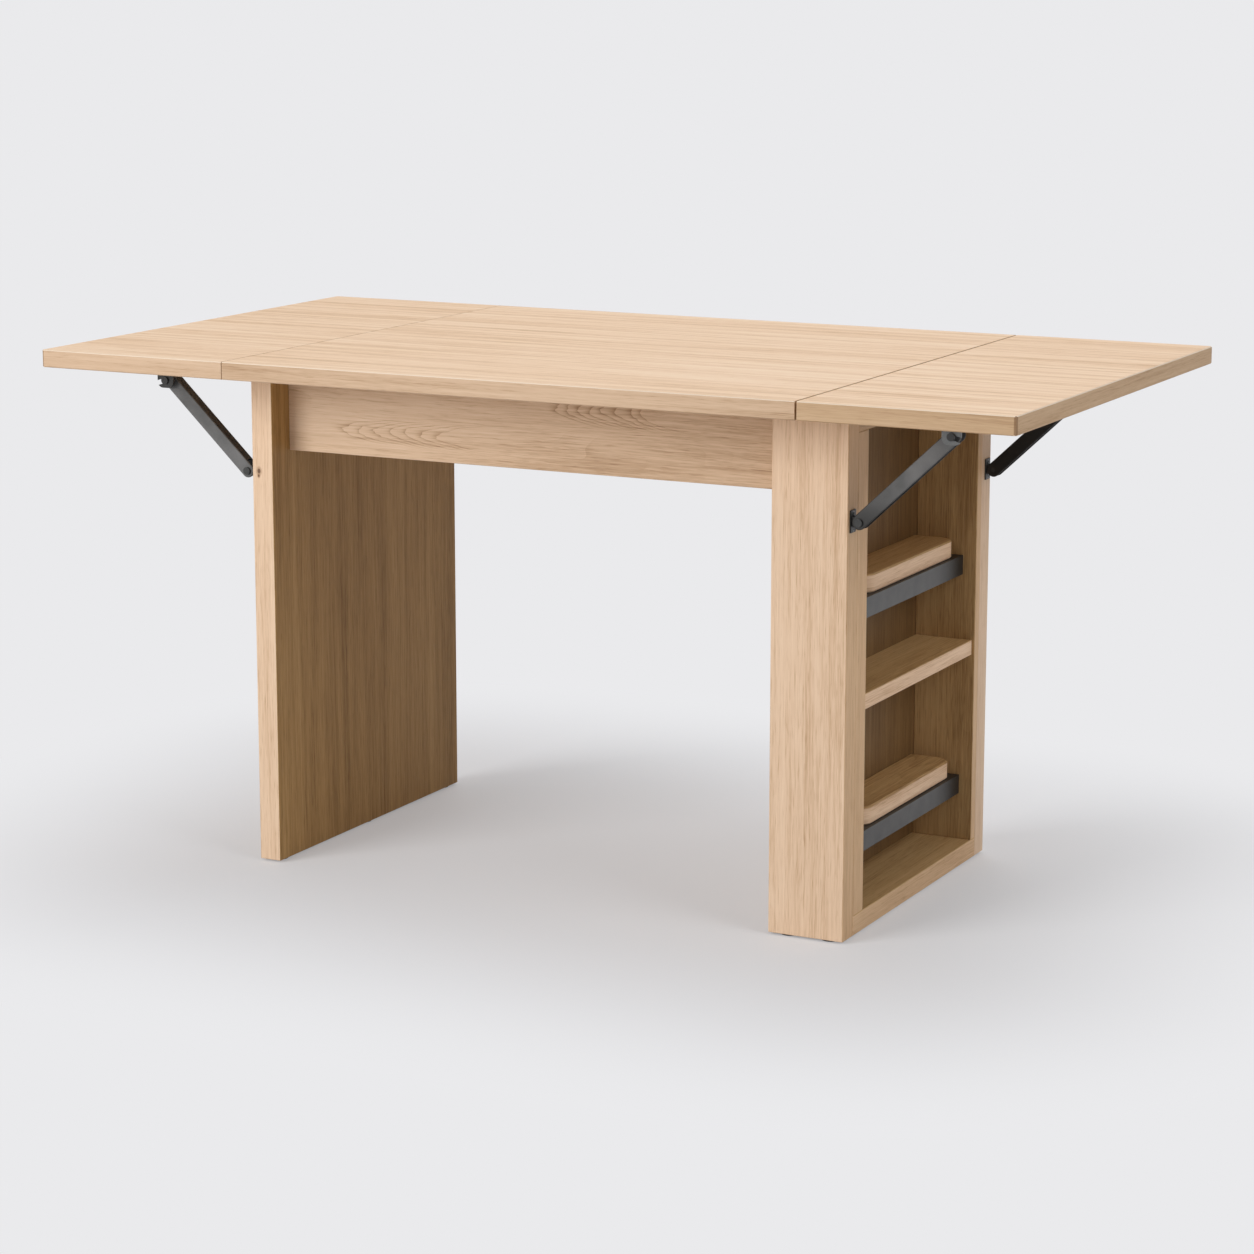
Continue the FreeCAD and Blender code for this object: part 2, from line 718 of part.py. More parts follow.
half_middle = "middle_knuckle / 2"
fixed_flap = flap("fixed_flap_blank", [
    ("0 - %s - knuckle_gap" % half_middle, half_middle + " + knuckle_gap"),
])
moving_flap = flap("moving_flap_blank", [
    ("0 - half_hinge - overrun", "0 - " + half_middle),
    (half_middle, "half_hinge + overrun"),
])
moving_shape = moving_flap.Shape.mirror(FreeCAD.Vector(), RIGHT)
barrels = [FreeCAD.Vector(value("half_centre"), row, value("hinge_level")) for row in hinge_rows]
hinge_sets = {
    "hinge_fixed_flaps": [moved(fixed_flap.Shape, place) for place in barrels],
    "hinge_moving_flaps": [moved(moving_shape, place) for place in barrels],
    "hinge_pins": [moved(hinge_pin, place, toward(FRONT)) for place in barrels],
}
for name, shapes in hinge_sets.items():
    twin("left_" + name, group("right_" + name, shapes), RIGHT)

# A strut is a channel of bent sheet, open below, with rounded cheeks

def strut(name):
    """The strut along its own X axis, pivot at its origin."""
    body = doc.addObject("PartDesign::Body", name)
    sketch = new_sketch(body, "XZ_Plane")
    radius = value("half_strut")
    length = value("strut_length")
    lower = Part.LineSegment(FreeCAD.Vector(0, -radius, 0), FreeCAD.Vector(length, -radius, 0))
    upper = Part.LineSegment(FreeCAD.Vector(length, radius, 0), FreeCAD.Vector(0, radius, 0))
    tip = Part.Arc(lower.EndPoint, FreeCAD.Vector(length + radius, 0, 0), upper.StartPoint)
    heel = Part.Arc(upper.EndPoint, FreeCAD.Vector(-radius, 0, 0), lower.StartPoint)
    for curve in (lower, tip, upper, heel):
        sketch.addGeometry(curve, False)
    for index in range(4):
        sketch.addConstraint(Sketcher.Constraint("Coincident", index, 2, (index + 1) % 4, 1))
    hold(sketch, 0, 1, "0", "0 - half_strut")
    hold(sketch, 0, 2, "strut_length", "0 - half_strut")
    hold(sketch, 2, 1, "strut_length", "half_strut")
    hold(sketch, 2, 2, "0", "half_strut")
    hold(sketch, 1, 3, "strut_length", None)
    hold(sketch, 3, 3, "0", None)
    circle(sketch, "0", "0", "pin_radius + running_play")
    circle(sketch, "strut_length", "0", "pin_radius + fit_play")
    blank = pad(body, sketch, "strut_depth", "Symmetric")
    long_edges = edge_names(blank, lambda e: e.BoundBox.XLength > length / 2)
    bevel(body, blank, "strut_ease", long_edges)
    hollow = polygon(body, "XZ_Plane", [
        ("0 - strut_width", "0 - strut_width"),
        ("strut_length + strut_width", "0 - strut_width"),
        ("strut_length + strut_width", "strut_width"),
        ("strut_length", "strut_width"),
        ("strut_length", "half_strut - strut_gauge"),
        ("web_start", "half_strut - strut_gauge"),
        ("web_start", "strut_width"),
        ("0 - strut_width", "strut_width"),
    ])
    pocket(body, hollow, "strut_depth - 2 * strut_gauge")
    return body


# The clevis: a back plate with two ears that hold the strut's pivot

def clevis(name):
    """The clevis with its plate's back at X zero and the pivot level with its origin."""
    body = doc.addObject("PartDesign::Body", name)
    radius = value("clevis_ear / 2")
    out = value("pivot_out")
    lower = Part.LineSegment(FreeCAD.Vector(0, -radius, 0), FreeCAD.Vector(out, -radius, 0))
    upper = Part.LineSegment(FreeCAD.Vector(out, radius, 0), FreeCAD.Vector(0, radius, 0))
    nose = Part.Arc(lower.EndPoint, FreeCAD.Vector(out + radius, 0, 0), upper.StartPoint)
    back = Part.LineSegment(upper.EndPoint, lower.StartPoint)
    sketch = new_sketch(body, "XZ_Plane")
    for curve in (lower, nose, upper, back):
        sketch.addGeometry(curve, False)
    for index in range(4):
        sketch.addConstraint(Sketcher.Constraint("Coincident", index, 2, (index + 1) % 4, 1))
    hold(sketch, 0, 1, "0", "0 - clevis_ear / 2")
    hold(sketch, 0, 2, "pivot_out", "0 - clevis_ear / 2")
    hold(sketch, 2, 1, "pivot_out", "clevis_ear / 2")
    hold(sketch, 2, 2, "0", "clevis_ear / 2")
    hold(sketch, 1, 3, "pivot_out", None)
    circle(sketch, "pivot_out", "0", "pin_radius + fit_play")
    pad(body, sketch, "2 * half_clevis", "Symmetric")
    plate = rectangle(body, "XZ_Plane", ("0", "0 - clevis_height / 2"), ("clevis_gauge", "clevis_height / 2"))
    pad(body, plate, "strut_depth", "Symmetric")
    inside = rectangle(body, "XZ_Plane", ("clevis_gauge", "0 - clevis_height"),
                       ("pivot_out + strut_width", "clevis_height"))
    pocket(body, inside, "2 * half_clevis - 2 * clevis_gauge")
    return body


# The catch: an ear with an open slot that follows the pin as the leaf drops

def catch(name):
    """The catch with the underside of the leaf at Z zero and the ear's front at Y zero."""
    body = doc.addObject("PartDesign::Body", name)
    ear = rectangle(body, "XZ_Plane", ("0 - catch_width / 2", "0 - catch_height"), ("catch_width / 2", "0"))
    plate = pad(body, ear, "catch_gauge", "One side", True)
    deep = -value("catch_height") / 2
    along_y = lambda e: e.BoundBox.YLength > e.BoundBox.XLength + e.BoundBox.ZLength
    rounded = fillet(body, plate, "catch_corner", lambda e: along_y(e) and e.BoundBox.ZMax < deep)
    foot = rectangle(body, "XY_Plane", ("0 - foot_width / 2", "0"), ("foot_width / 2", "foot_depth"))
    base = pad(body, foot, "foot_gauge", "One side", True)
    far = value("foot_depth - foot_corner")
    fillet(body, base, "foot_corner", lambda e: upright(e) and e.BoundBox.YMin > far)
    return body


# The strut turns through more than the leaf. The pin leaves the seat at right angles
# to the difference of their two speeds, and the slot lies that way.
fold_ratio = 1 + value("atan2(strut_rise; strut_run) / 90 deg")
speed_x = fold_ratio * value("strut_run") - value("catch_reach")
speed_z = fold_ratio * value("strut_rise") - value("hinge_drop - catch_drop")
slot_way = FreeCAD.Vector(speed_z, 0, -speed_x)
slot_way.normalize()
seat = spot("0", "0", "0 - catch_drop")
slot_radius = value("slot_radius")
slot_depth = value("catch_gauge + 2 * overrun")
slot_corner = FreeCAD.Vector(0, 0, -slot_radius)
slot_round = Part.makeCylinder(slot_radius, slot_depth, FreeCAD.Vector(), REAR)
slot_straight = Part.makeBox(value("catch_width"), slot_depth, 2 * slot_radius, slot_corner)
slot_shape = slot_round.fuse(slot_straight)
slot_turn = FreeCAD.Rotation(RIGHT, slot_way)
slot_tool = moved(slot_shape, seat + spot("0", "0 - overrun", "0"), slot_turn)
catch_cut = bored("catch", catch("catch_blank"), [slot_tool])
catch_front = moved(catch_cut.Shape, spot("catch_x", "catch_front", "underside"))
clevis_front = moved(clevis("clevis").Shape, spot("face", "strut_middle", "pivot_level"))
pivot_place = spot("pivot_x", "strut_middle", "pivot_level")
pivot_front = moved(spun("pivot_pin", PIVOT_PIN).Shape, pivot_place, toward(FRONT))


def to_rear(shape):
    """The mirror image of a shape on the rear side of the base."""
    return shape.mirror(spot("0", "base_middle", "0"), REAR)


strut_sets = {
    "strut_clevises": [clevis_front, to_rear(clevis_front)],
    "strut_pivot_pins": [pivot_front, to_rear(pivot_front)],
    "catch_plates": [catch_front, to_rear(catch_front)],
}
for name, shapes in strut_sets.items():
    twin("left_" + name, group("right_" + name, shapes), RIGHT)

# The four struts and their catch pins, drawn with the leaf up
rise_angle = value("atan2(strut_rise; strut_run) / 1 deg")
front_strut = keep("right_front_strut", strut("right_front_strut"))
front_strut.Placement = FreeCAD.Placement(pivot_place, FreeCAD.Rotation(REAR, -rise_angle))
front_pin = keep("right_front_catch_pin", spun("right_front_catch_pin", CATCH_PIN))
front_pin.Placement = FreeCAD.Placement(spot("catch_x", "strut_middle", "catch_z"), toward(FRONT))
doc.recompute()
for name, source in (("strut", front_strut), ("catch_pin", front_pin)):
    rear = twin("right_rear_" + name, source, REAR)
    twin("left_front_" + name, source, RIGHT)
    twin("left_rear_" + name, rear, RIGHT)

# Nothing is written unless every piece is sound
doc.recompute()
for item in doc.Objects:
    if "Invalid" in item.State or "Error" in item.State:
        raise ValueError("%s failed: %s" % (item.Label, item.State))
for label, item in nodes.items():
    shape = item.Shape
    if shape.isNull() or not shape.isValid() or not shape.Solids:
        raise ValueError("%s has no sound solid" % label)

os.makedirs("parts", exist_ok=True)
for label, item in nodes.items():
    item.Shape.exportStep("parts/%s.step" % label)
print("%d nodes, %d solids" % (len(nodes), sum(len(item.Shape.Solids) for item in nodes.values())))
print("fold ratio %.5f" % fold_ratio)
print("strut angle %.4f" % rise_angle)
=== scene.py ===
# %% [markdown]
# # An oak island table with two drop leaves
#
# The object is a table top in three boards on a base of oak panels. A leaf at each end hangs on
# butt hinges and is held up by two folding steel struts. At the right a narrow storage column
# carries the top. The solids of all the parts come ready made from the CAD model, in metres, and
# this lesson dresses them: camera, floor, light, oak, steel, and the small screws.
#
# The first step loads the solids as a fixed frame. Nothing in it is moved later on, so each
# finish and each new piece is placed by the numbers that the frame gives.

import bpy
import numpy as np
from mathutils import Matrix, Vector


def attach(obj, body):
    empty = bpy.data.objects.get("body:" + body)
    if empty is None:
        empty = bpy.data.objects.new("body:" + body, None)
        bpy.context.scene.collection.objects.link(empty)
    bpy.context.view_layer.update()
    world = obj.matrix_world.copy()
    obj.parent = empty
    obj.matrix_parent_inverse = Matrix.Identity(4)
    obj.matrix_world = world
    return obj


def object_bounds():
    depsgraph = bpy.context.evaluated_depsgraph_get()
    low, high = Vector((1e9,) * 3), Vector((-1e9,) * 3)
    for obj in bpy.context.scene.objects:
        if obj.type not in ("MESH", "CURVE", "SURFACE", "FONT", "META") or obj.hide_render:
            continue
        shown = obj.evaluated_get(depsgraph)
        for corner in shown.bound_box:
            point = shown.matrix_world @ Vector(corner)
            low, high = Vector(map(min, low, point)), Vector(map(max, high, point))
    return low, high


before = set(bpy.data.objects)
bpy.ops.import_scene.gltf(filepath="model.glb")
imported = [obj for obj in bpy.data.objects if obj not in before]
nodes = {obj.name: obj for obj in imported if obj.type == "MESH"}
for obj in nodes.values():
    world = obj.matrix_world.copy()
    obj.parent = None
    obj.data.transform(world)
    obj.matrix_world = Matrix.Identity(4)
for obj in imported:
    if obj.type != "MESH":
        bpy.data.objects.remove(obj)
cad_box = [list(corner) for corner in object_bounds()]
size = [high - low for low, high in zip(*cad_box)]
print("parts in the frame:", len(nodes), "| size in metres:", [round(edge, 3) for edge in size])

# %% [markdown]
# ## The camera
#
# The table is seen through a long lens from in front and to the right, a little above the top.
# A camera is set by three things: where it stands, where it looks, and how long its lens is.
# A large lens shift would keep the table's upright edges quite parallel to the picture's sides,
# but views from other sides keep the shift and would cut the table off. So the shift is small,
# and the tilt does nearly all of the framing.

# %% Stand the camera
STAND = (2.1868, -4.3022, 1.3434)
TURN = 0.471
TILT = 0.19
SENSOR_WIDTH = 36.0
LENS = 97.03
SHIFT = -0.040

camera = bpy.data.objects.new("camera", bpy.data.cameras.new("camera"))
bpy.context.scene.collection.objects.link(camera)
camera.location = STAND
camera.rotation_euler = (np.pi / 2 - TILT, 0.0, TURN)
camera.data.sensor_width = SENSOR_WIDTH
camera.data.lens = LENS
camera.data.shift_y = SHIFT
bpy.context.scene.camera = camera
print("lens", LENS, "mm, distance", round(camera.location.length, 2), "m")

# %% [markdown]
# ## Floor and backdrop
#
# A studio table stands on one pale sheet that curves up behind it, so there is no corner to be
# seen. The sheet is a profile, floor then a quarter circle then wall, carried along its width.
# A profile carried along a path is the simplest of all surfaces: one table of points for the
# profile, one for the path, and each point of the surface is the sum of one of each.


# %% Helpers that turn tables of points into meshes
def to_mesh(name, points, faces):
    """A mesh object from a numpy table of points and a list of faces, each its corner numbers."""
    mesh = bpy.data.meshes.new(name)
    mesh.from_pydata(points.reshape(-1, 3).tolist(), [], faces)
    mesh.update()
    thing = bpy.data.objects.new(name, mesh)
    bpy.context.scene.collection.objects.link(thing)
    return thing


def grid_faces(rows, columns, closed=False):
    """Four-sided faces of a grid of points; closed joins the last column to the first."""
    wide = columns if closed else columns - 1
    row, column = np.meshgrid(np.arange(rows - 1), np.arange(wide), indexing="ij")
    after = (column + 1) % columns
    corners = [row * columns + column, row * columns + after]
    corners += [(row + 1) * columns + after, (row + 1) * columns + column]
    return np.stack(corners, axis=-1).reshape(-1, 4)


# %% The sheet
SHEET_FRONT = -9.0
SHEET_BACK = 7.0
BEND = 1.6
WALL = 7.0
HALF_WIDTH = 13.0
BEND_POINTS = 25
WIDTH_POINTS = 9

angles = np.linspace(0.0, np.pi / 2, BEND_POINTS)
bend_y = SHEET_BACK + BEND * np.sin(angles)
bend_z = BEND * (1.0 - np.cos(angles))
profile_y = np.concatenate([[SHEET_FRONT], bend_y, [SHEET_BACK + BEND]])
profile_z = np.concatenate([[0.0], bend_z, [WALL]])
across = np.linspace(HALF_WIDTH, -HALF_WIDTH, WIDTH_POINTS)
sheet_points = np.zeros((len(profile_y), WIDTH_POINTS, 3))
sheet_points[..., 0] = across[None, :]
sheet_points[..., 1] = profile_y[:, None]
sheet_points[..., 2] = profile_z[:, None]
sheet_faces = grid_faces(len(profile_y), WIDTH_POINTS)
sheet = to_mesh("backdrop_sheet", sheet_points, sheet_faces.tolist())
sheet.data.polygons.foreach_set("use_smooth", [True] * len(sheet_faces))
print("backdrop faces:", len(sheet_faces))

# %% [markdown]
# ## Writing materials as sums
#
# A procedural material is a sum written with boxes and wires. It reads better as a sum, so one
# small class wraps a wire and lets Python's own signs add the boxes. A second class holds one
# material and makes any other box from its type, its settings and what goes into it.


# %% A wire that can be added and multiplied
class Wire:
    """An output of a node. Sums of wires and numbers add Math nodes to the same material."""

    def __init__(self, finish, socket):
        self.finish = finish
        self.socket = socket

    def math(self, operation, *terms):
        """A Math node of this operation over the terms."""
        return self.finish.node("Math", {"operation": operation}, dict(enumerate(terms)))

    def out(self, name):
        """Another output of the same node."""
        return Wire(self.finish, self.socket.node.outputs[name])

    def __add__(self, other):
        return self.math("ADD", self, other)

    def __radd__(self, other):
        return self.math("ADD", other, self)

    def __sub__(self, other):
        return self.math("SUBTRACT", self, other)

    def __rsub__(self, other):
        return self.math("SUBTRACT", other, self)

    def __mul__(self, other):
        return self.math("MULTIPLY", self, other)

    def __rmul__(self, other):
        return self.math("MULTIPLY", other, self)

    def __abs__(self):
        return self.math("ABSOLUTE", self)

    def __gt__(self, limit):
        return self.math("GREATER_THAN", self, limit)

    def fraction(self):
        """What is left of the value after its whole turns are taken away."""
        return self.math("FRACT", self)

    def power(self, number):
        """The value raised to a power."""
        return self.math("POWER", self, number)

    def at_least(self, floor):
        """The value, but never below the floor."""
        return self.math("MAXIMUM", self, floor)

    def at_most(self, ceiling):
        """The value, but never above the ceiling."""
        return self.math("MINIMUM", self, ceiling)

    def ease(self, low, high):
        """0 below low, 1 above high, and a smooth step between them; low may be the larger."""
        settings = {"interpolation_type": "SMOOTHSTEP"}
        return self.finish.node("MapRange", settings, {0: self, 1: low, 2: high})


# %% One material
class Finish:
    """One material with a Principled shader, or the world with a Background shader."""

    def __init__(self, name, world=False):
        self.material = (bpy.data.worlds if world else bpy.data.materials).new(name)
        self.material.use_nodes = True
        self.tree = self.material.node_tree
        self.shader = self.tree.nodes["Background" if world else "Principled BSDF"]

    def join(self, value, socket):
        """A wire is linked to the socket, and a number or colour is set on it."""
        if isinstance(value, Wire):
            self.tree.links.new(value.socket, socket)
        else:
            socket.default_value = value

    def node(self, kind, settings=None, inputs=None, output=0):
        """Any node: its type, then its settings, then what goes into its sockets."""
        made = self.tree.nodes.new("ShaderNode" + kind)
        for key, setting in (settings or {}).items():
            if key == "stops":
                self.fill(made.color_ramp, setting)
            else:
                setattr(made, key, setting)
        for key, value in (inputs or {}).items():
            self.join(value, made.inputs[key])
        return Wire(self, made.outputs[output])

    def fill(self, ramp, stops):
        """The stops of a colour ramp, as pairs of a place and a colour."""
        while len(ramp.elements) < len(stops):
            ramp.elements.new(1.0)
        for element, (place, shade) in zip(ramp.elements, stops):
            element.position = place
            element.color = shade

    def mix(self, share, first, second):
        """A colour between two colours."""
        return self.node("Mix", {"data_type": "RGBA"}, {0: share, 6: first, 7: second}, 2)

    def noise(self, place, detail=2.0, roughness=0.5):
        """Soft noise between 0 and 1 at a place."""
        inputs = {"Vector": place, "Scale": 1.0, "Detail": detail, "Roughness": roughness}
        return self.node("TexNoise", None, inputs)

    def spot(self, x, y, z):
        """A place from three values."""
        return self.node("CombineXYZ", None, {0: x, 1: y, 2: z})

    def parts(self, coordinate):
        """The X, Y and Z of a texture coordinate, as the outputs of one node."""
        return self.node("SeparateXYZ", None, {0: self.node("TexCoord", output=coordinate)})

    def zoomed(self, scale):
        """The object's own coordinates times a scale."""
        place = self.node("TexCoord", output="Object")
        return self.node("Mapping", None, {"Vector": place, "Scale": (scale, scale, scale)})

    def set(self, **values):
        """Values of the shader, named as its sockets with _ for a space."""
        for name, value in values.items():
            self.join(value, self.shader.inputs[name.replace("_", " ")])

    def seen(self):
        """1 for rays that the camera sees straight, mirrored or through glass, else 0."""
        ray = self.node("LightPath", output="Is Camera Ray")
        return (ray + ray.out("Is Glossy Ray") + ray.out("Is Transmission Ray")).at_most(1.0)

    def veil(self, share, glow, output):
        """A plain glow takes this share of the shader's place in what is shown."""
        lit = Wire(self, self.shader.outputs[0])
        both = self.node("MixShader", None, {0: share, 1: lit, 2: glow})
        self.tree.links.new(both.socket, self.tree.nodes[output].inputs["Surface"])


def colour(red, green, blue):
    """A screen colour of 0 to 255 as the linear colour that materials use."""
    screen = np.array([red, green, blue]) / 255.0
    linear = np.where(screen <= 0.04045, screen / 12.92, ((screen + 0.055) / 1.055) ** 2.4)
    return (*linear.tolist(), 1.0)


print("white is", colour(255, 255, 255))

# %% [markdown]
# ## Paper
#
# The sheet is matt paper, a little darker than white. Away from the base it turns into a plain
# pale glow, for the camera alone, so that none of its edges is seen and no more light falls on
# the table. Close to the base only a third of it glows, so the table keeps its soft shadow. How
# far a point is from the base is the distance to a box round its foot.

# %% Lay the paper
PALE = colour(234, 234, 236)
PAPER_DARK = colour(212, 212, 214)
PAPER_LIGHT = colour(222, 222, 224)
CLOUD_SCALE = 0.5
BASE_HALF_LENGTH = 0.46
BASE_HALF_DEPTH = 0.26
BASE_MIDDLE_Y = -0.02
NEAR_SHARE = 0.32
GLOW_REACH = 0.72

paper = Finish("paper")
cloud = paper.noise(paper.zoomed(CLOUD_SCALE))
paper_tone = paper.mix(cloud, PAPER_DARK, PAPER_LIGHT)
paper.set(Base_Color=paper_tone, Roughness=0.8, Specular_IOR_Level=0.25)
point = paper.parts("Object")
beside = (abs(point.out("X")) - BASE_HALF_LENGTH).at_least(0.0)
beyond = (abs(point.out("Y") - BASE_MIDDLE_Y) - BASE_HALF_DEPTH).at_least(0.0)
distance = (beside * beside + beyond * beyond).power(0.5)
share = NEAR_SHARE + (1.0 - NEAR_SHARE) * distance.ease(0.0, GLOW_REACH)
glow = paper.node("Emission", None, {"Color": PALE, "Strength": 1.0})
paper.veil(paper.seen() * share, glow, "Material Output")
paper.material.cycles.emission_sampling = "NONE"
sheet.data.materials.append(paper.material)
print("the paper glows fully", GLOW_REACH, "m from the base")

# %% [markdown]
# ## Light
#
# Three wide soft lamps light the table. The strongest stands low at the left front, so that it
# reaches under the overhang of the top. A weaker one at the right lights the open side of the
# column, one behind lights the top, and an even pale room fills the rest. All are large, because
# a small lamp draws hard shadows. The level is plain: a colour shows on the top about as it is
# written in its material.

# %% Lamps and room
LAMP_SIZE = 3.0
ROOM_COLOUR = colour(250, 251, 255)
ROOM_STRENGTH = 0.27


def lamp(name, place, aim, power):
    """A square soft lamp at a place, turned to look at its aim."""
    light = bpy.data.lights.new(name, "AREA")
    light.size = LAMP_SIZE
    light.energy = power
    thing = bpy.data.objects.new(name, light)
    bpy.context.scene.collection.objects.link(thing)
    thing.location = place
    look = np.array(aim) - np.array(place)
    flat = np.hypot(look[0], look[1])
    thing.rotation_euler = (np.arctan2(flat, -look[2]), 0.0, np.arctan2(-look[0], look[1]))


lamp("key_lamp", (-2.6, -4.8, 2.5), (0.0, 0.0, 0.5), 223.0)
lamp("side_lamp", (5.0, -1.2, 3.8), (0.3, 0.0, 0.4), 112.0)
lamp("back_lamp", (-0.6, 2.4, 4.4), (0.0, 0.0, 0.6), 70.0)

room = Finish("room", world=True)
room.set(Color=ROOM_COLOUR, Strength=ROOM_STRENGTH)
shown = room.node("Background", None, {"Color": PALE, "Strength": 1.0})
room.veil(room.seen(), shown, "World Output")
bpy.context.scene.world = room.material
bpy.context.scene.view_settings.view_transform = "Standard"

# %% [markdown]
# ## Oak
#
# Every board is faced with straight grained light oak. Seen closely that is several patterns on
# top of each other: broad bands of tone a hand wide, narrow streaks, thin lines and fibres,
# arched growth lines where the log was cut near its heart, and pores, which are short dark
# dashes. All of them are long along the grain and narrow across it, so each is soft noise read
# at a stretched place.
#
# A board is faced on all sides, and the facing's grain follows the face. The object coordinates
# and the face's direction decide which way is along and which is across, so an edge gets long
# grain as real edge facing has, and not the rings of a sawn end.

# %% Grain coordinates
AXES = {"X": ("X", "Y", "Z"), "Y": ("Y", "X", "Z"), "Z": ("Z", "X", "Y")}
FACING = 0.7
END_SEED = 3.7
WIDE_SEED = 7.3


def grain_place(finish, along, seed):
    """Along, across and face number at a point of a board.

    Along is the long axis, except on the board's two end faces, where it is the second axis.
    Across is the second axis on faces that look along the third, and the third axis elsewhere.
    The face number starts at the board's seed, so no two boards or faces share a pattern.
    """
    point = finish.parts("Object")
    normal = finish.parts("Normal")
    long, second, third = AXES[along]
    end_face = abs(normal.out(long)) > FACING
    wide_face = abs(normal.out(third)) > FACING
    u = point.out(long) * (1.0 - end_face) + point.out(second) * end_face
    v = point.out(second) * wide_face + point.out(third) * (1.0 - wide_face)
    face = seed + END_SEED * end_face + WIDE_SEED * wide_face
    return u, v, face


# %% Wood colours, four for each kind of surface, darkest first
TOP_TONES = [(182, 141, 99), (219, 181, 140), (242, 208, 173), (252, 226, 195)]
# Rim colours: the top boards' edges, painted darker than the top as shade.
RIM_PAINTED_SHADE_TONES = [(144, 110, 78), (179, 146, 113), (201, 170, 139), (215, 185, 155)]
BASE_TONES = [(160, 123, 87), (200, 166, 132), (224, 193, 162), (238, 210, 181)]
APRON_TONES = [(145, 111, 79), (186, 154, 122), (211, 181, 150), (226, 199, 171)]
# Edge colours: the column's faces that look right, painted darker as shade.
EDGE_PAINTED_SHADE_TONES = [(154, 114, 77), (191, 153, 113), (213, 177, 137), (228, 194, 155)]
# Leaf colours: painted deeper shade on the right leaf's edges and on the ends that look right.
DEEPER_RIM_PAINTED_SHADE_TONES = [(136, 101, 68), (170, 136, 100), (191, 158, 122), (206, 175, 139)]
SHELF_TONES = [(166, 127, 90), (209, 172, 136), (232, 199, 166), (245, 217, 187)]
# Bay, panel and deep colours: painted shade on faces inside the column and between the legs,
# darkest deep in the bay.
BAY_PAINTED_SHADE_TONES = [(118, 87, 52), (158, 123, 79), (189, 154, 106), (210, 175, 127)]
PANEL_PAINTED_SHADE_TONES = [(97, 68, 33), (136, 103, 57), (167, 131, 80), (192, 156, 102)]
DEEP_PAINTED_SHADE_TONES = [(68, 47, 25), (94, 68, 38), (117, 88, 53), (136, 105, 67)]
TONE_PLACES = (0.0, 0.3, 0.58, 1.0)


def tinted(finish, tone, tones):
    """The tone from 0 to 1 as a colour between four wood colours, darkest first."""
    stops = [(place, colour(*shade)) for place, shade in zip(TONE_PLACES, tones)]
    return finish.node("ValToRGB", {"stops": stops}, {0: tone})


# %% [markdown]
# The patterns are kept in one table, so that they can be compared at a glance. A row gives how
# many waves there are in a metre along the grain and across it. The third number is added to the
# face number and keeps the patterns apart, and the last two say how rough the noise is.

# %% The tone of plain grain
LAYERS = {
    "slow sway": (3.0, 12.0, 0.0, 2.0, 0.5),
    "quick sway": (32.0, 90.0, 0.0, 1.0, 0.5),
    "bands": (0.9, 14.0, 0.0, 2.0, 0.5),
    "streaks": (1.6, 70.0, 5.0, 3.0, 0.6),
    "thin lines": (6.5, 400.0, 7.0, 3.0, 0.6),
    "fibres": (24.0, 760.0, 9.0, 2.0, 0.6),
    "hill": (2.0, 9.0, 2.0, 2.0, 0.5),
    "arched places": (1.3, 5.0, 11.0, 1.0, 0.5),
    "pores": (40.0, 1000.0, 4.0, 1.0, 0.5),
    "ring wander": (22.0, 70.0, 3.0, 2.0, 0.5),
}
SLOW_SWAY = 0.007
QUICK_SWAY = 0.0016
MIDDLE_TONE = 0.58
BAND_SHARE = 0.55
STREAK_SHARE = 0.6
TOP_STREAK_SHARE = 1.15
THIN_SHARE = 0.66
FIBRE_SHARE = 0.56
PORE_SHARE = 0.18
HILL_TURNS = 14.0
SLOPE_TURNS = 40.0


def layer(finish, name, u, v, face):
    """One pattern of the table: noise at a place stretched along the grain."""
    along, across, apart, detail, roughness = LAYERS[name]
    place = finish.spot(u * along, v * across, face + apart)
    return finish.noise(place, detail, roughness)


def plain_grain(finish, u, v, face, arches, streak_share):
    """The tone of plain grain, about 0 where it is darkest to 1, and its relief.

    The tone is the middle tone plus each pattern, less its mean and times its share. Arches
    are growth lines: what is left of a slow hill's height counted in turns, squared, in the
    places that have them. The relief is fibres that stand up and pores that are sunk.
    """
    bands = layer(finish, "bands", u, v, face)
    streaks = layer(finish, "streaks", u, v, face)
    thin = layer(finish, "thin lines", u, v, face)
    fibres = layer(finish, "fibres", u, v, face)
    pores = layer(finish, "pores", u, v, face).ease(0.55, 0.72)
    hill = layer(finish, "hill", u, v, face)
    where = layer(finish, "arched places", u, v, face).ease(0.45, 0.7)
    rings = (hill * HILL_TURNS + v * SLOPE_TURNS).fraction().power(2.0)
    tone = MIDDLE_TONE + (bands - 0.5) * BAND_SHARE + (streaks - 0.5) * streak_share
    tone = tone + (thin - 0.5) * THIN_SHARE + (fibres - 0.5) * FIBRE_SHARE
    tone = tone - pores * PORE_SHARE - rings * where * arches
    return tone, fibres * 0.5 - pores


# %% Growth rings in nests
RING_WANDER = 1.6
RING_DARK = 0.42
# Painted light and shade along the front apron: paler at its left end, darker at its right.
APRON_PAINTED_LIFT = 0.09
APRON_PAINTED_SHADE = 0.24
APRON_SHADE_ENDS = (-0.44, 0.4)


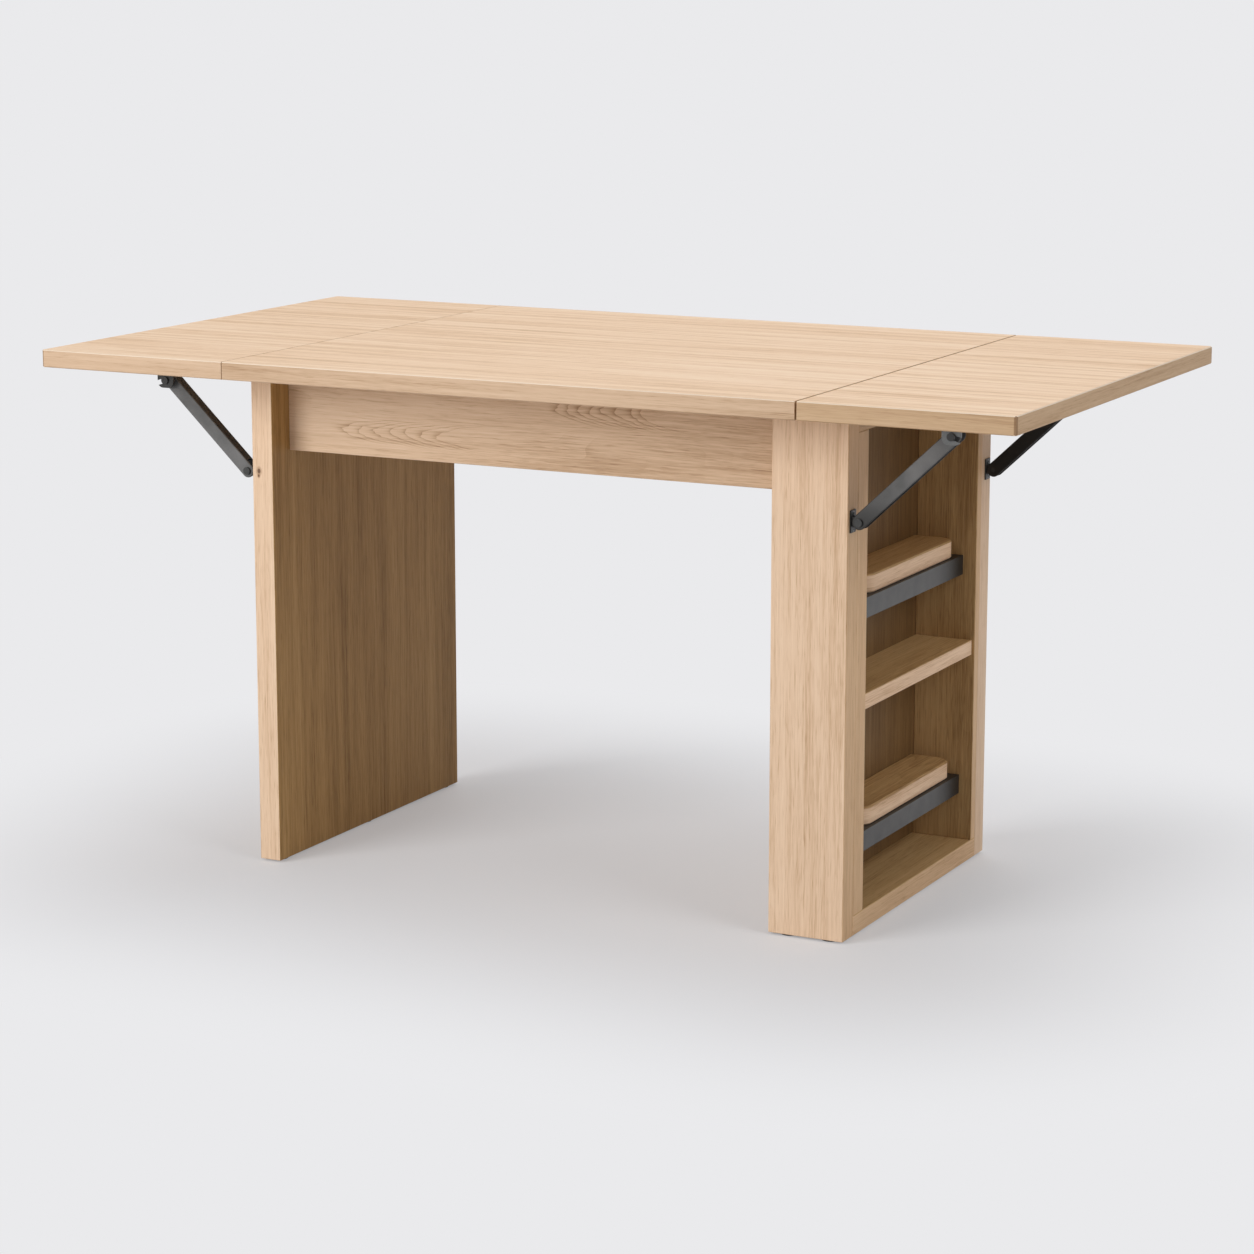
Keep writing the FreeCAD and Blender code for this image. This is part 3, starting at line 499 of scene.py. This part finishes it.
def with_figures(finish, tone, u, v, face, figures):
    """The tone with cathedrals: nests of growth rings that open to one side like parabolas.

    Rings are counted as the way along in pitches from the first tip, less the square of the
    way across in half heights, with a little noise. Each ring darkens to its end. The board
    that has them is also painted a little paler at its left end and darker at its right end,
    as painted light and shade.
    """
    # Painted light and shade: the apron's tone falls from left to right.
    tone = tone + APRON_PAINTED_LIFT - APRON_PAINTED_SHADE * u.ease(*APRON_SHADE_ENDS)
    point = finish.parts("Object")
    wander = layer(finish, "ring wander", u, v, face) * RING_WANDER
    for tip_x, middle_z, pitch, half_height, turns in figures:
        high = (point.out("Z") - middle_z) * (1.0 / half_height)
        count = (point.out("X") - tip_x) * (1.0 / pitch) - high * high + wander
        line = count.fraction().power(3.0)
        inside = count.ease(0.0, 0.6) * (1.0 - count.ease(turns - 1.5, turns))
        inside = inside * (1.0 - abs(high).ease(1.3, 2.4))
        tone = tone - line * inside * RING_DARK
    return tone


# %% Pin knots, a painted highlight on arrises and painted shade on corners
KNOT_HALF_WIDTH = 0.0017
KNOT_HALF_HEIGHT = 0.0023
KNOT_HALO = colour(150, 110, 74)
KNOT_CORE = colour(84, 54, 32)
# A painted highlight for the arris and painted shade for the upright corners.
ARRIS_PAINTED_HIGHLIGHT = colour(255, 240, 219)
CORNER_PAINTED_SHADE = colour(120, 86, 56)
PAINTED_EDGE_SHARE = 0.6


def with_knots(finish, grain, normal, knots):
    """The grain with pin knots on the face to the front: a dark oval in a paler one.

    Both follow the square of the distance from the knot's middle, counted in its own radii.
    """
    point = finish.parts("Object")
    front = (0.0 - normal.out("Y")) > FACING
    for middle_x, middle_z, scale in knots:
        wide = (point.out("X") - middle_x) * (1.0 / (KNOT_HALF_WIDTH * scale))
        high = (point.out("Z") - middle_z) * (1.0 / (KNOT_HALF_HEIGHT * scale))
        far = wide * wide + high * high
        grain = finish.mix((1.0 - far.ease(2.0, 6.0)) * front * 0.45, grain, KNOT_HALO)
        grain = finish.mix((1.0 - far.ease(0.4, 1.8)) * front * 0.85, grain, KNOT_CORE)
    return grain


def with_painted_arris_and_corner(finish, grain, normal):
    """The grain of a top board with a painted highlight on its arris and painted shade round
    its upright corners.

    The arris is where the surface looks upward but not straight up. A corner is where it looks
    along X and along Y at once.
    """
    upward = normal.out("Z")
    # Painted highlight on the arris, painted shade round the upright corners.
    arris = (upward > 0.5) - (upward > 0.9)
    grain = finish.mix(arris * PAINTED_EDGE_SHARE, grain, ARRIS_PAINTED_HIGHLIGHT)
    corner = abs(normal.out("X") * normal.out("Y")) > 0.2
    return finish.mix(corner * PAINTED_EDGE_SHARE, grain, CORNER_PAINTED_SHADE)


# %% The oak finish
def oak(name, along, seed, tones, arches, painted_shade_faces=(), knots=(), figures=(), top=False):
    """Oak facing on a board whose long axis is along.

    Arches is how dark the growth lines are. Faces that look one way, given as an axis, a sign
    and four colours, take these darker colours as painted shade. Knots and figures are listed
    by place.
    """
    finish = Finish(name)
    u, v, face = grain_place(finish, along, seed)
    slow = layer(finish, "slow sway", u, v, face) * SLOW_SWAY
    quick = layer(finish, "quick sway", u, v, face) * QUICK_SWAY
    v = v + (slow + quick)
    streak_share = TOP_STREAK_SHARE if top else STREAK_SHARE
    tone, relief = plain_grain(finish, u, v, face, arches, streak_share)
    if figures:
        tone = with_figures(finish, tone, u, v, face, figures)
    normal = finish.parts("Normal")
    grain = tinted(finish, tone, tones)
    # Painted shade: faces that look the given way take darker colours.
    for axis, sign, shade_tones in painted_shade_faces:
        shaded_side = (normal.out(axis) * sign) > FACING
        grain = finish.mix(shaded_side, grain, tinted(finish, tone, shade_tones))
    if knots:
        grain = with_knots(finish, grain, normal, knots)
    if top:
        grain = with_painted_arris_and_corner(finish, grain, normal)
    bump = finish.node("Bump", None, {"Strength": 0.3, "Distance": 0.0003, "Height": relief})
    finish.set(Base_Color=grain, Roughness=0.6 - 0.1 * tone, Normal=bump)
    finish.set(Specular_IOR_Level=0.28)
    return finish.material


def dress(part, material):
    """Give a part one material all over."""
    slots = nodes[part].material_slots
    if not slots:
        nodes[part].data.materials.append(material)
    for slot in slots:
        slot.material = material


# %% [markdown]
# Each board has a row: the axis that its grain follows, its colours, how strong the growth
# lines are, and which of its faces have other colours. These other colours are painted shade:
# the faces inside the column and between the two legs are painted darker than the faces
# outside, and so are the column's faces that look right. A knot is given by its X, its Z and
# its size, and a figure by its first tip's X, its middle's Z, its pitch, half height and ring
# count.

# %% Lay the oak on the boards
# The column's faces that look right take the edge colours: painted shade.
EDGE_PAINTED_SHADE = ("X", 1.0, EDGE_PAINTED_SHADE_TONES)
BOARDS = [
    ("left_end_panel", "Z", BASE_TONES, 0.06, [("X", 1.0, PANEL_PAINTED_SHADE_TONES)]),
    ("front_apron", "X", APRON_TONES, 0.55, [("Y", 1.0, PANEL_PAINTED_SHADE_TONES)]),
    ("rear_apron", "X", APRON_TONES, 0.55, [("Y", -1.0, PANEL_PAINTED_SHADE_TONES)]),
    ("column_front_board", "Z", BASE_TONES, 0.03, [EDGE_PAINTED_SHADE]),
    ("column_rear_board", "Z", BASE_TONES, 0.03, []),
    ("column_side_panel", "Z", BASE_TONES, 0.06, [("X", 1.0, DEEP_PAINTED_SHADE_TONES)]),
    ("column_front_lining", "Z", BASE_TONES, 0.06, [EDGE_PAINTED_SHADE, ("Y", 1.0, BAY_PAINTED_SHADE_TONES)]),
    ("column_rear_lining", "Z", BASE_TONES, 0.06, [EDGE_PAINTED_SHADE, ("Y", -1.0, BAY_PAINTED_SHADE_TONES)]),
    ("column_bottom_board", "Y", BASE_TONES, 0.06, [EDGE_PAINTED_SHADE, ("Z", 1.0, BAY_PAINTED_SHADE_TONES)]),
    ("column_top_board", "Y", BASE_TONES, 0.06, [EDGE_PAINTED_SHADE, ("Z", -1.0, BAY_PAINTED_SHADE_TONES)]),
    ("column_mid_shelf", "Y", SHELF_TONES, 0.15, [("Z", 1.0, BAY_PAINTED_SHADE_TONES)]),
    ("upper_ledge_board", "Y", SHELF_TONES, 0.15, [("Z", 1.0, BAY_PAINTED_SHADE_TONES)]),
    ("lower_ledge_board", "Y", SHELF_TONES, 0.15, [("Z", 1.0, BAY_PAINTED_SHADE_TONES)]),
    ("ledge_back_battens", "Y", BASE_TONES, 0.1, [("X", 1.0, BAY_PAINTED_SHADE_TONES)]),
]
TOP_BOARDS = ("left_leaf", "centre_top", "right_leaf")
KNOTS = {"left_end_panel": [(-0.4528, 0.578, 1.45), (-0.4534, 0.5712, 0.8)]}
FIGURES = {
    "front_apron": [
        (0.000, 0.693, 0.019, 0.0115, 9.0),
        (-0.345, 0.641, 0.026, 0.0100, 8.0),
    ]
}
TOP_ARCHES = 0.05

# The top boards' edges are painted darker than their tops as shade; the right leaf's edges and
# every end that looks right are painted darker still.
for number, part in enumerate(TOP_BOARDS):
    rim = DEEPER_RIM_PAINTED_SHADE_TONES if part == "right_leaf" else RIM_PAINTED_SHADE_TONES
    painted_shade_rims = [("X", -1.0, rim), ("X", 1.0, DEEPER_RIM_PAINTED_SHADE_TONES), ("Y", -1.0, rim), ("Y", 1.0, rim)]
    seed = 2.3 * number + 0.4
    dress(part, oak(part + "_oak", "X", seed, TOP_TONES, TOP_ARCHES, painted_shade_rims, top=True))
for number, (part, along, tones, arches, painted_shade_faces) in enumerate(BOARDS):
    extras = {"knots": KNOTS.get(part, ()), "figures": FIGURES.get(part, ())}
    seed = 1.9 * number + 11.6
    dress(part, oak(part + "_oak", along, seed, tones, arches, painted_shade_faces, **extras))
print("oak boards:", len(BOARDS) + len(TOP_BOARDS))

# %% [markdown]
# ## Steel, plastic and beech
#
# The struts and rails are steel with a satin charcoal coat, and the plates and pins are darker.
# Faces of the struts and rails turned from the light are painted black as shade; the right
# front strut turns black towards its lower end and the rails towards the back, also painted
# shade; and the right catch plates are painted a lighter grey as if lit.
# Fine noise in the roughness and a very low bump break up the shine as a powder coat does.
# The hinges and brackets out of sight are bare zinc plated steel, and the glides black plastic.
# The loose tenons are pale beech, for which the oak without growth lines serves well.

# %% Coated and plated steel
PATCH_SCALE = 34.0
GRIT_SCALE = 1500.0
# Painted shade: the black for steel faces turned from the light.
SHADED_COAT = colour(42, 41, 39)
LIT_SIDE_LIMIT = 0.4


def steel(name, dark, light, metal, rough, lit_side=None, shade_fade=None):
    """Coated steel: two close tones in soft patches, fine grain in the bump.

    With a side to light, as an axis and a sign, only the faces that look that way keep these
    tones as if lit, and the other faces are painted black as shade. Given an axis and two
    places along it for the shade, the tones turn black from the first place to the second,
    also as painted shade.
    """
    finish = Finish(name)
    patch = finish.noise(finish.zoomed(PATCH_SCALE), 3.0)
    grit = finish.noise(finish.zoomed(GRIT_SCALE), 2.0)
    tone = finish.mix((patch * 0.6 + grit * 0.4).ease(0.3, 0.7), dark, light)
    # Painted light and shade: the lit side keeps the coat's tones, the rest is painted black.
    if lit_side:
        axis, sign = lit_side
        lit = (finish.parts("Normal").out(axis) * sign) > LIT_SIDE_LIMIT
        if shade_fade:
            axis, start, end = shade_fade
            lit = lit * (1.0 - finish.parts("Object").out(axis).ease(start, end))
        tone = finish.mix(lit, SHADED_COAT, tone)
    bump = finish.node("Bump", None, {"Strength": 0.2, "Distance": 0.0001, "Height": grit})
    finish.set(Base_Color=tone, Metallic=metal, Roughness=rough + 0.1 * grit, Normal=bump)
    return finish.material


# %% Steel, plastic and beech on their parts
GREY = (colour(78, 78, 77), colour(104, 103, 102), 0.45, 0.38)
RAIL = (colour(70, 70, 69), colour(84, 83, 82), 0.4, 0.4)
# Painted shade: struts and rails keep their grey on one side only and are black elsewhere; the
# right front strut and the rails also turn black along one axis.
left_strut = steel("left_strut_steel", *GREY, ("Y", -1.0))
right_strut = steel("right_strut_steel", *GREY, ("Y", -1.0), ("Z", 0.655, 0.56))
rear_strut = steel("rear_strut_steel", *GREY, ("Y", 1.0))
rail_steel = steel("rail_steel", *RAIL, ("X", 1.0), ("Y", 0.07, 0.165))
# Painted light: the right catch plates are a lighter grey than the black left ones.
catch_painted_lit_coat = steel("catch_painted_lit_steel", colour(84, 86, 86), colour(112, 114, 114), 0.45, 0.36)
black_coat = steel("black_steel", colour(44, 44, 43), colour(60, 60, 59), 0.4, 0.38)
zinc = steel("zinc_plate", colour(150, 152, 156), colour(178, 180, 184), 0.9, 0.32)
plastic = steel("glide_plastic", colour(30, 30, 31), colour(38, 38, 39), 0.0, 0.5)
beech = oak("tenon_beech", "X", 50.0, TOP_TONES, 0.0)

FINISHES = {
    "grey left": (left_strut, ["left_front_strut"]),
    "grey right": (right_strut, ["right_front_strut"]),
    "grey rear": (rear_strut, ["_rear_strut"]),
    "rail": (rail_steel, ["_ledge_rail"]),
    "black": (black_coat, ["_clevises", "_pivot_pins", "_catch_pin", "left_catch_plates"]),
    "painted lit catch": (catch_painted_lit_coat, ["right_catch_plates"]),
    "zinc": (zinc, ["_flaps", "_hinge_pins", "top_corner_brackets", "shelf_pins"]),
    "plastic": (plastic, ["_glides"]),
    "beech": (beech, ["apron_tenons"]),
}
for title, (material, endings) in FINISHES.items():
    worn = [part for part in nodes if part.endswith(tuple(endings))]
    for part in worn:
        dress(part, material)
    print(title, "on", len(worn), "parts")

# %% [markdown]
# ## Screws
#
# Every plate is held by small flat screws with a cross recess. A head is a disc whose height is a
# function of radius and angle: nearly flat, turned down at the rim, and sunk where the
# cross is. One table of points makes a head, and a second table of places and directions
# lays it down everywhere at once, so a row of heads is a single sum of arrays.

# %% One head
HEAD_RADIUS = 0.0034
HEAD_HEIGHT = 0.0006
RECESS = 0.0011
HEAD_RINGS = (0.12, 0.5, 0.62, 0.9, 1.0)
HEAD_TURNS = 16
RECESS_REACH = 0.55


def head_points():
    """Middle point, then the rings of points, as x, y and height.

    The height is full inside, falls with the fourth power of the radius to nothing at
    the rim, and is lowered by the recess on the four spokes of the cross.
    """
    numbers = np.arange(HEAD_TURNS)
    turns = numbers * (2.0 * np.pi / HEAD_TURNS)
    ring, turn = np.meshgrid(np.array(HEAD_RINGS), turns, indexing="ij")
    high = HEAD_HEIGHT * (1.0 - ring**4)
    spoke = (numbers % (HEAD_TURNS // 4) == 0)[None, :] & (ring < RECESS_REACH)
    high = np.where(spoke | (ring < 0.2), high - RECESS, high)
    flat = HEAD_RADIUS * ring
    outer = np.stack([flat * np.cos(turn), flat * np.sin(turn), high], axis=-1)
    middle = np.array([[0.0, 0.0, HEAD_HEIGHT - RECESS]])
    return np.concatenate([middle, outer.reshape(-1, 3)])


def head_faces():
    """A fan of triangles round the middle point, and the grid of faces between the rings."""
    first = np.arange(HEAD_TURNS)
    fan = np.stack([0 * first, 1 + first, 1 + (first + 1) % HEAD_TURNS], axis=-1)
    grid = grid_faces(len(HEAD_RINGS), HEAD_TURNS, closed=True)
    return [fan, grid[:, ::-1] + 1]


# %% Many heads
screw_steel = steel("screw_steel", colour(96, 96, 96), colour(120, 120, 121), 0.85, 0.3)


def screws(name, body, heads):
    """Heads in one piece, each given as its place and the direction that it looks.

    A head's own x and y axes are any two at right angles to its direction. Its points are
    the place plus x, y and height counted along the three axes.
    """
    shape = head_points()
    places = np.array([place for place, way in heads])
    up = np.array([way for place, way in heads])
    other = np.where(np.abs(up[:, 2:3]) > 0.5, [[1.0, 0.0, 0.0]], [[0.0, 0.0, 1.0]])
    first = np.cross(other, up)
    second = np.cross(up, first)
    frames = np.stack([first, second, up], axis=1)
    points = places[:, None, :] + np.einsum("pi,nij->npj", shape, frames)
    faces = []
    for number in range(len(heads)):
        for table in head_faces():
            faces += (table + number * len(shape)).tolist()
    thing = to_mesh(name, points, faces)
    thing.data.materials.append(screw_steel)
    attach(thing, body)
    print(name, "holds", len(heads), "heads")


# %% [markdown]
# The rows below say where the screws are, plate by plate, in metres. A plate's screws stand one
# step to each side of its middle, on the face that the plate shows. The leaves' screws ride on
# the leaves, and all the others on the base.

# %% Screws of the leaves
DOWN = (0.0, 0.0, -1.0)
HINGE_ROWS = (-0.210, -0.020, 0.170)
FLAP_X, FLAP_STEP, FLAP_Z = 0.488, 0.021, 0.7225
CATCH_ROWS = (-0.268, 0.228)
CATCH_X, CATCH_STEP, PLATE_Z = 0.608, 0.019, 0.723

for side, sign in (("left", -1.0), ("right", 1.0)):
    heads = []
    for step in (-CATCH_STEP, CATCH_STEP):
        heads += [((sign * (CATCH_X + step), row, PLATE_Z), DOWN) for row in CATCH_ROWS]
    for row in HINGE_ROWS:
        heads += [((sign * FLAP_X, row + step, FLAP_Z), DOWN) for step in (-FLAP_STEP, FLAP_STEP)]
    screws(side + "_leaf_screws", side + "_leaf_body", heads)

# %% Screws of the clevises and the ledge rails
STRUT_ROWS = (-0.2655, 0.2255)
CLEVIS_X, CLEVIS_Z, CLEVIS_STEP = 0.4655, 0.576, 0.0107
RAIL_X, RAIL_STEP = 0.4305, 0.006
RAIL_LEVELS = (0.4395, 0.1135)
RAIL_FRONT, RAIL_REAR = -0.2095, 0.1875

heads = []
for sign in (-1.0, 1.0):
    for row in STRUT_ROWS:
        for step in (-CLEVIS_STEP, CLEVIS_STEP):
            heads += [((sign * CLEVIS_X, row, CLEVIS_Z + step), (sign, 0.0, 0.0))]
for level in RAIL_LEVELS:
    for step in (-RAIL_STEP, RAIL_STEP):
        heads += [((RAIL_X + step, RAIL_FRONT, level), (0.0, 1.0, 0.0))]
        heads += [((RAIL_X + step, RAIL_REAR, level), (0.0, -1.0, 0.0))]

# %% Screws of the brackets and the column's head
BRACKET_UPRIGHT_Z = 0.707
APRON_BRACKETS = (-0.26, 0.26)
APRON_WALLS = ((-0.210, 1.0), (0.170, -1.0))
PLATE_THICK, LEG_MIDDLE = 0.002, 0.018
PANEL_BRACKETS = (-0.115, 0.075)
PANEL_PLATE_X, PANEL_LEG_X = -0.4275, -0.4115
COLUMN_HEAD_Z = 0.691

for along in APRON_BRACKETS:
    for wall, way in APRON_WALLS:
        heads += [((along, wall + PLATE_THICK * way, BRACKET_UPRIGHT_Z), (0.0, way, 0.0))]
        heads += [((along, wall + LEG_MIDDLE * way, PLATE_Z), DOWN)]
for row in PANEL_BRACKETS:
    heads += [((PANEL_PLATE_X, row, BRACKET_UPRIGHT_Z), (1.0, 0.0, 0.0))]
    heads += [((PANEL_LEG_X, row, PLATE_Z), DOWN)]
heads += [((along, row, COLUMN_HEAD_Z), DOWN) for along in (0.395, 0.44) for row in (-0.14, 0.1)]
screws("base_screws", "base", heads)
